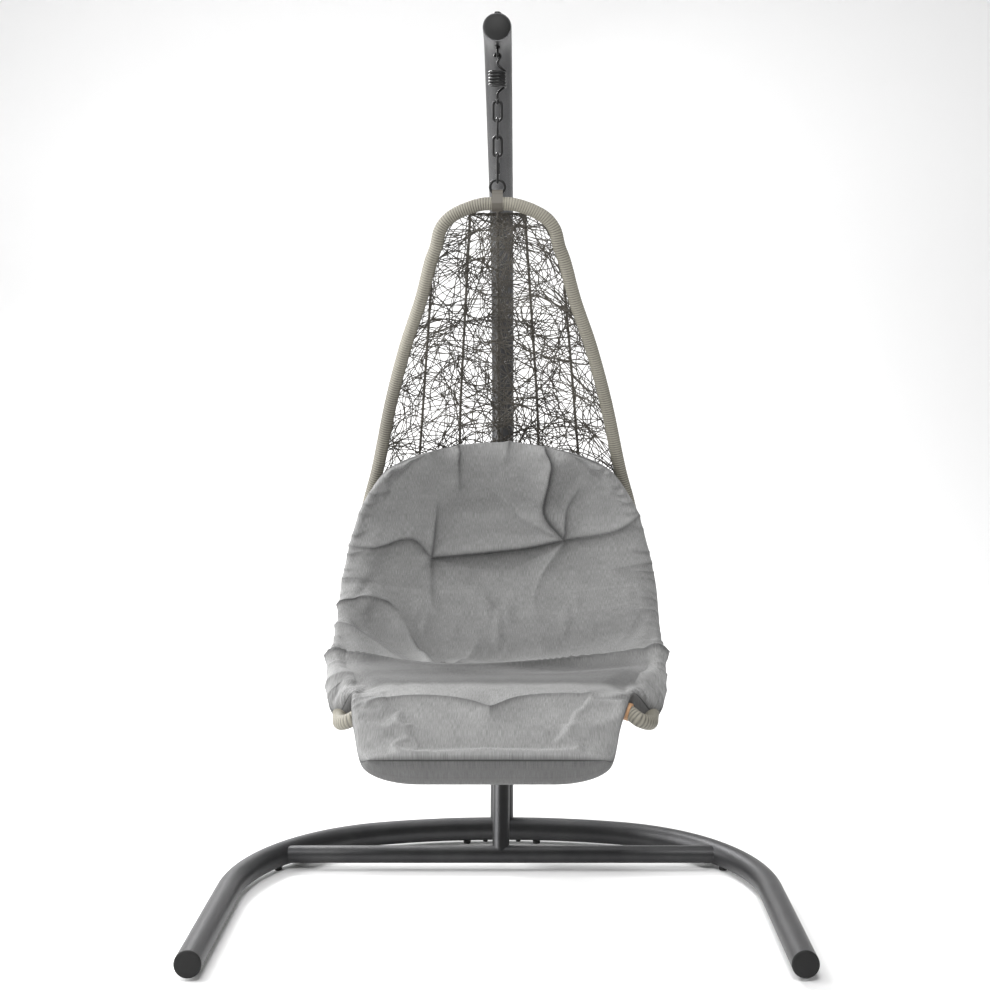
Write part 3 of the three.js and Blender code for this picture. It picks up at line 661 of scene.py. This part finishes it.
def strandPath(rng, length, lowest=1.0):
    along = rng.uniform(weave["archTop"], lowest)
    while lowest == 1 and rng.random() > halfWidth(along) / wander["widest"]:
        along = rng.uniform(weave["archTop"], lowest)
    x = halfWidth(along) * rng.uniform(-wander["startReach"], wander["startReach"])
    heading = rng.uniform(0, 2 * math.pi)
    layer = rng.uniform(wander["under"], wander["over"])
    bend = rng.uniform(-wander["startBend"], wander["startBend"])
    path = []
    travelled = 0
    while travelled < length:
        half = halfWidth(along)
        ripple = wander["ripple"] * math.sin(travelled * wander["rippleRate"] + bend)
        path.append(hollowPoint(along, max(-half, min(half, x)), layer + ripple))
        bend += rng.uniform(-wander["bendChange"], wander["bendChange"])
        bend = max(-wander["mostBend"], min(wander["mostBend"], bend * wander["bendKept"]))
        heading += bend * weave["step"]
        x += math.cos(heading) * weave["step"]
        along += math.sin(heading) * weave["step"] / wander["run"]
        travelled += weave["step"]
        if not weave["archTop"] < along < lowest:
            heading = -heading
            along = max(weave["archTop"] + wander["margin"], min(lowest - wander["margin"], along))
        if abs(x) > half * wander["overhang"]:
            heading = math.pi - heading + rng.uniform(-wander["bounce"], wander["bounce"])
            x = math.copysign(half, x)
    return smoothPath(path, 1) if len(path) > 3 else None


def addWeave():
    rng = random.Random(weave["seed"])
    for layer in ("weaveFront", "weaveBack"):
        paths = []
        while len(paths) < weave["strands"]:
            path = strandPath(rng, rng.uniform(weave["shortest"], weave["longest"]))
            if path:
                paths.append(path)
        arch = [strandPath(rng, weave["archLength"], weave["archLowest"]) for i in range(weave["archStrands"])]
        paths += [path for path in arch if path]
        mesh = tubeMesh(paths, weave["radius"], 4)
        groove = mesh.attributes.new("groove", "FLOAT", "POINT")
        for i, vertex in enumerate(mesh.vertices):
            groove.data[i].value = max(0, min(1, 0.3 + 0.8 * noise.noise(vertex.co * 14)))
        addPiece(layer, mesh, finishes["wickerStrand"], "basket", ("woven_shell",))
        print(layer, sum(len(p) for p in paths), "points,", len(mesh.polygons), "faces")


addWeave()

# Each rod: where it starts along the weave, and its distance from the middle at four places down the basket.
rods = {"Center": (0.0, (0, 0, 0, 0)), "Inner": (0.0, (62, 91, 105, 100)), "Outer": (0.105, (150, 187, 222, 205))}
rodShape = {"radius": 3.1, "behind": 5.5, "steps": 40, "end": 0.99}


def addRods():
    for name, (start, spread) in rods.items():
        for side, label in ((0, ""),) if name == "Center" else ((-1, "Left"), (1, "Right")):
            points = []
            steps = rodShape["steps"]
            for i in range(steps + 1):
                part = min(3 * i / steps, 2.999)
                low = int(part)
                x = spread[low] + (spread[low + 1] - spread[low]) * (part - low)
                along = start + (rodShape["end"] - start) * i / steps
                points.append(hollowPoint(along, side * x / 1000, rodShape["behind"]))
            if start == 0:
                points.insert(0, place(points[0].x * 1000, 131, 1657 if side == 0 else 1649))
            else:
                fixing = railAt(start - 0.012)
                points.insert(0, Vector((side * fixing.x, fixing.y, fixing.z)))
            points.append(place(points[-1].x * 1000, -141, 606))
            node = "rib_center" if name == "Center" else f"rib_{name.lower()}_{label.lower()}"
            mesh = tubeMesh([smoothPath(points, 2)], rodShape["radius"] / 1000, 12)
            addPiece("rod" + name + label, mesh, finishes["wickerStrand"], "basket", (node,))


addRods()
finishNodes(("hoop_back", "hoop_seat_rear", "hoop_seat_front"), "wickerStrand")
print("basket ready")

# ---- pad ----
# Sections run from the top edge to the front: depth and height of the lower and of the upper panel, half the
# width, and how far the sides come forward.
pad = {"along": 220, "across": 104, "runSteps": 200, "edgeRound": 0.075, "frontRound": 0.095, "seed": 3,
       "bow": 1.15, "bowPower": 2.2, "lean": -16, "leanFrom": 0.74, "leanOver": 0.14,
       "droop": 52, "droopAt": 0.715, "droopOver": 0.055, "droopFrom": 0.7, "droopPower": 1.6,
       "sections": [
    (368, 1138, 298, 1122, 150, 66), (376, 1116, 294, 1098, 220, 68), (385, 1090, 301, 1071, 266, 70),
    (400, 1035, 315, 1021, 302, 71), (411, 990, 326, 979, 324, 72), (419, 900, 334, 897, 348, 70),
    (411, 815, 328, 831, 362, 66), (385, 745, 312, 785, 369, 62), (333, 667, 280, 734, 372, 57),
    (270, 625, 243, 702, 372, 52), (200, 600, 185, 682, 371, 46), (95, 584, 92, 668, 369, 35),
    (0, 583, -2, 665, 364, 25), (-70, 588, -62, 672, 352, 14), (-112, 604, -106, 683, 318, 4),
    (-138, 634, -142, 677, 290, 0), (-170, 606, -184, 654, 280, 0), (-190, 545, -222, 622, 266, 0),
    (-202, 466, -254, 602, 252, 0), (-240, 492, -290, 594, 233, 0)]}
left, right = (0.293, -0.45), (0.258, 0.46)
dimple, notch = (0.625, -0.31), (0.868, 0.02)
# Each crease: points as (share along, share across), depth and half width in metres, how it fades towards its end.
creases = [
    ([left, (0.284, -0.1), (0.274, 0.2), right], 0.016, 0.011, 0),
    ([left, (0.256, -0.60), (0.27, -0.83), (0.263, -1)], 0.013, 0.010, 0.5),
    ([left, (0.262, -0.58), (0.238, -0.70)], 0.009, 0.009, 0.9),
    ([left, (0.237, -0.44), (0.197, -0.45)], 0.016, 0.010, 0.8),
    ([(0, -0.63), (0.05, -0.45), (0.10, -0.36), (0.152, -0.31)], 0.014, 0.012, 0.7),
    ([(0, 0.17), (0.09, 0.05)], 0.009, 0.009, 0.8),
    ([right, (0.218, 0.33), (0.12, 0.45), (0.053, 0.60), (0, 0.72)], 0.018, 0.013, 0.2),
    ([right, (0.21, 0.50), (0.152, 0.62)], 0.015, 0.011, 0.8),
    ([right, (0.23, 0.18), (0.15, -0.09)], 0.010, 0.020, 0.7),
    ([right, (0.256, 0.51), (0.241, 0.82), (0.214, 1)], 0.012, 0.010, 0.4),
    ([right, (0.329, 0.28), (0.39, 0.225), (0.526, 0.27)], 0.010, 0.020, 0.6),
    ([left, (0.39, -0.42), (0.43, -0.40)], 0.009, 0.012, 0.9),
    ([left, (0.39, -0.115), (0.476, 0.16)], 0.009, 0.022, 0.7),
    ([(0.35, -1), (0.36, -0.72)], 0.007, 0.010, 0.9),
    ([(0.30, 1), (0.32, 0.70)], 0.007, 0.010, 0.9),
    ([(0.43, -0.98), (0.42, -0.70), (0.53, -0.50), (0.625, -0.33)], 0.012, 0.013, 0),
    ([(0.50, -1), (0.535, -0.78), (0.58, -0.55)], 0.010, 0.012, 0.4),
    ([dimple, (0.55, -0.20), (0.50, -0.12)], 0.010, 0.014, 0.8),
    ([(0.60, -1), (0.62, -0.7), (0.65, -0.31), (0.63, 0), (0.615, 0.23), (0.602, 0.45), (0.59, 1)],
     0.019, 0.014, 0),
    ([notch, (0.848, -0.14), (0.834, -0.39), (0.836, -0.70), (0.852, -0.89)], 0.009, 0.010, 0.4),
    ([notch, (0.842, 0.17), (0.828, 0.38), (0.824, 0.72)], 0.009, 0.010, 0.4),
]
tufts = [(left, 0.010, 0.010), (right, 0.010, 0.010), (dimple, 0.010, 0.018), (notch, 0.008, 0.014)]
# Broad swells (or sinks, where the height is negative) along a line: height and half width in metres.
puffs = [
    ([(0.505, -0.8), (0.54, -0.3), (0.53, 0.2), (0.505, 0.8)], 0.012, 0.035),
    ([(0.235, -0.43), (0.215, 0), (0.21, 0.41)], 0.006, 0.032),
    ([(0.345, -0.4), (0.33, 0), (0.325, 0.4)], 0.005, 0.032),
    ([(0.665, -0.9), (0.665, 0.9)], -0.016, 0.05),
    ([(0.768, -0.85), (0.768, 0.85)], 0.005, 0.030),
]


# The edge panels are gathered into the seam in short puckers, closer together near the front.
puckers = {"from": 0.08, "to": 0.86, "reach": (0.80, 0.92), "slant": 0.012, "depth": (0.003, 0.007), "width": 0.006,
           "fade": 0.9, "gap": (0.02, 0.045), "closerFrom": 0.68, "closer": 0.5}


def addPuckers():
    rng = random.Random(pad["seed"])
    for side in (-1, 1):
        along = puckers["from"]
        while along < puckers["to"]:
            reach = rng.uniform(*puckers["reach"])
            end = along + rng.uniform(-puckers["slant"], puckers["slant"])
            line = [(along, side), (end, side * reach)]
            creases.append((line, rng.uniform(*puckers["depth"]), puckers["width"], puckers["fade"]))
            along += rng.uniform(*puckers["gap"]) * (puckers["closer"] if along > puckers["closerFrom"] else 1)


addPuckers()


def sectionSplines():
    rows = [Vector(row[:3]) for row in pad["sections"]], [Vector(row[3:]) for row in pad["sections"]]
    return [smoothPath(r, 24) for r in rows]


padLow, padHigh = sectionSplines()


def padRow(along):
    share = along * (len(padLow) - 1)
    low = min(int(share), len(padLow) - 2)
    first = padLow[low].lerp(padLow[low + 1], share - low)
    second = padHigh[low].lerp(padHigh[low + 1], share - low)
    return (*first, *second)


def padPoint(along, across, through):
    lowY, lowZ, topY, topZ, half, forward = padRow(along)
    lift = math.hypot(topY - lowY, topZ - lowZ)
    share = forward * abs(across) ** pad["bowPower"] * pad["bow"] / lift + through
    lean = pad["lean"] * min(max((along - pad["leanFrom"]) / pad["leanOver"], 0), 1)
    drop = pad["droop"] * math.exp(-((along - pad["droopAt"]) / pad["droopOver"]) ** 2)
    drop *= min(max((abs(across) - pad["droopFrom"]) / 0.3, 0), 1) ** pad["droopPower"]
    return place(half * across + lean, lowY + (topY - lowY) * share, lowZ + (topZ - lowZ) * share - drop)


def padLengths():
    lengths = [0.0]
    steps = pad["runSteps"]
    for i in range(steps):
        lengths.append(lengths[-1] + (padPoint((i + 1) / steps, 0, 1) - padPoint(i / steps, 0, 1)).length)
    return lengths


padRun = padLengths()


def rounded(distance, reach):
    share = min(max(distance / reach, 0), 1)
    return math.sqrt(1 - (1 - share) ** 2.1)


# How full the pad is between its two panels, falling to nothing at the seam all round.
def fullness(along, across):
    side = (1 - abs(across)) * padRow(along)[4] / 1000
    spot = along * pad["runSteps"]
    step = min(int(spot), pad["runSteps"] - 1)
    run = padRun[step] + (padRun[step + 1] - padRun[step]) * (spot - step)
    reach = pad["edgeRound"] * (1 + 0.6 * min(max((along - 0.8) / 0.15, 0), 1))
    return rounded(side, reach) * rounded(run, pad["edgeRound"]) * rounded(padRun[-1] - run, pad["frontRound"])


def buildPad():
    work = bmesh.new()
    bmesh.ops.create_grid(work, x_segments=pad["across"], y_segments=pad["along"], size=1)
    uv = work.loops.layers.uv.new("UVMap")
    spot = work.verts.layers.float_vector.new("spot")
    seam = work.verts.layers.float.new("seam")
    pins = work.verts.layers.deform.verify()
    grown = bmesh.ops.extrude_face_region(work, geom=work.faces[:])["geom"]
    bmesh.ops.translate(work, vec=(0, 0, 1), verts=[g for g in grown if isinstance(g, bmesh.types.BMVert)])
    bmesh.ops.recalc_face_normals(work, faces=work.faces)
    for face in work.faces:
        for loop in face.loops:
            x, y, z = loop.vert.co
            along = (1 - y) / 2
            run = padRun[round(along * pad["runSteps"])]
            loop[uv].uv = (padRow(along)[4] * x / 1000 + 0.05 * (1 - z), run + 0.3 * (1 - z))
    rims = []
    for vert in work.verts:
        along, across, top = (1 - vert.co.y) / 2, vert.co.x, vert.co.z > 0.5
        rim = abs(vert.co.x) > 0.999 or abs(vert.co.y) > 0.999
        full = 0 if rim else fullness(along, across)
        vert[spot] = (along, across, 0.5 if rim else float(top))
        vert[seam] = float(rim)
        vert[pins][0] = 0.0 if top and not rim else 1.0
        vert.co = padPoint(along, across, 0.5 + (0.5 if top else -0.5) * full)
        if rim:
            rims.append(vert)
    bmesh.ops.remove_doubles(work, verts=rims, dist=0.0002)
    bmesh.ops.recalc_face_normals(work, faces=work.faces)
    mesh = bpy.data.meshes.new("pad")
    finishMesh(work, mesh, 170)
    return mesh


stuffing = {"quality": 5, "mass": 0.25, "tension_stiffness": 12, "compression_stiffness": 12, "shear_stiffness": 4,
            "bending_stiffness": 2.5, "shrink_min": -0.004, "use_pressure": True, "uniform_pressure_force": 3.0,
            "vertex_group_mass": "held"}
swell = {"frames": 20, "most": 0.022}


def swellPad(piece):
    mesh = piece.data
    rest = [v.co.copy() for v in mesh.vertices]
    cloth = piece.modifiers.new("swell", "CLOTH")
    for setting, value in stuffing.items():
        setattr(cloth.settings, setting, value)
    cloth.settings.effector_weights.gravity = 0
    cloth.collision_settings.use_collision = False
    scene = bpy.context.scene
    for step in range(1, swell["frames"] + 1):
        scene.frame_set(step)
    result = piece.evaluated_get(bpy.context.evaluated_depsgraph_get()).to_mesh()
    for vertex, start, moved in zip(mesh.vertices, rest, result.vertices):
        shift = moved.co - start
        if shift.length > swell["most"]:
            shift *= swell["most"] / shift.length
        vertex.co = start + shift
    piece.modifiers.clear()
    scene.frame_set(1)
    print("pad swelled")


# Distance of every point from a line, and how far along the line its nearest spot is.
def lineDistance(points, line):
    best = np.full(len(points), 9.0)
    share = np.zeros(len(points))
    total = len(line) - 1
    for i in range(total):
        run = line[i + 1] - line[i]
        t = np.clip((points - line[i]) @ run / (run @ run), 0, 1)
        gap = np.linalg.norm(points - line[i] - t[:, None] * run, axis=1)
        near = gap < best
        best[near] = gap[near]
        share[near] = (i + t[near]) / total
    return best, share


# Creases have a sharp fold and a broad dip on either side of it, and painted shade darkens the folds, the hollows
# and the underside panel.
folds = {"sharp": 0.6, "broad": 2.6, "broadShare": 0.75, "darkWidth": 0.018, "darkDepth": 0.011, "darkReach": 0.0045,
         "deepest": -0.034, "highest": 0.014, "edgeRate": 1.6, "edgeLeast": 0.16, "seatDark": 0.72,
         "lapDark": 0.34, "underDark": 0.74}


def creasePad(mesh):
    count = len(mesh.vertices)
    spots = np.empty(count * 3)
    mesh.attributes["spot"].data.foreach_get("vector", spots)
    spots = spots.reshape(count, 3)
    flat = np.array([padPoint(along, across, 1) for along, across, top in spots])
    full = np.array([fullness(along, across) for along, across, top in spots])
    push, shade, sharp, broad = (np.zeros(count) for i in range(4))
    for line, depth, width, fade in creases:
        path = [np.array(p) for p in smoothPath([padPoint(a, c, 1) for a, c in line], 5)]
        gap, share = lineDistance(flat, path)
        strength = depth * (1 - fade * share)
        narrow = strength * np.exp(-gap / (folds["sharp"] * width))
        sharp = np.maximum(sharp, narrow)
        wide = folds["broadShare"] * strength * np.exp(-(gap / (folds["broad"] * width)) ** 2)
        broad = np.maximum(broad, wide)
        # Painted shade: a dark line along each narrow crease.
        if width < folds["darkWidth"]:
            shade = np.maximum(shade, strength / folds["darkDepth"] * np.exp(-gap / folds["darkReach"]))
    for line, height, width in puffs:
        path = [np.array(p) for p in smoothPath([padPoint(a, c, 1) for a, c in line], 5)]
        push += height * np.exp(-(lineDistance(flat, path)[0] / width) ** 2)
    push -= sharp + broad
    for (along, across), depth, width in tufts:
        gap = np.linalg.norm(flat - np.array(padPoint(along, across, 1)), axis=1)
        push -= depth * np.exp(-gap / width)
    upper = np.clip(spots[:, 2] * 2 - 1, 0, 1)
    push *= np.clip(full * folds["edgeRate"], folds["edgeLeast"], 1) * upper
    # Painted shade in the seat strip and lap hollows, and over the whole underside panel.
    seat = np.clip((spots[:, 0] - 0.585) / 0.03, 0, 1) * np.clip((0.772 - spots[:, 0]) / 0.025, 0, 1)
    seat *= np.clip((0.96 - np.abs(spots[:, 1])) / 0.2, 0, 1)
    hollowShade = folds["seatDark"] * seat + folds["lapDark"] * np.exp(-((spots[:, 0] - 0.52) / 0.09) ** 2)
    shade = np.clip(np.maximum(shade, hollowShade) * upper + folds["underDark"] * (1 - upper), 0, 1)
    mesh.attributes.new("shade", "FLOAT", "POINT").data.foreach_set("value", shade)
    places = np.empty(count * 3)
    mesh.vertices.foreach_get("co", places)
    normals = np.empty(count * 3)
    mesh.vertex_normals.foreach_get("vector", normals)
    push = np.clip(push, folds["deepest"], folds["highest"])
    places = places.reshape(count, 3) + normals.reshape(count, 3) * push[:, None]
    mesh.vertices.foreach_set("co", places.ravel())
    mesh.update()


def addPad():
    mesh = buildPad()
    piece = addPiece("longPad", mesh, finishes["padFabric"], None, ("cushion",))
    piece.vertex_groups.new(name="held")
    swellPad(piece)
    finish = piece.modifiers.new("smooth", "SUBSURF")
    finish.levels = finish.render_levels = 1
    graph = bpy.context.evaluated_depsgraph_get()
    smooth = piece.evaluated_get(graph)
    fine = bpy.data.meshes.new_from_object(smooth, preserve_all_data_layers=True, depsgraph=graph)
    piece.modifiers.clear()
    piece.data = fine
    creasePad(fine)
    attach(piece, "basket")


addPad()
print("pad ready")

# ---- ties and the band under the ring ----
finishNodes(("tie_left", "tie_right"), "tanLeather")
finishNodes(("ring_band",), "wickerStrand")
print("ties and band ready")
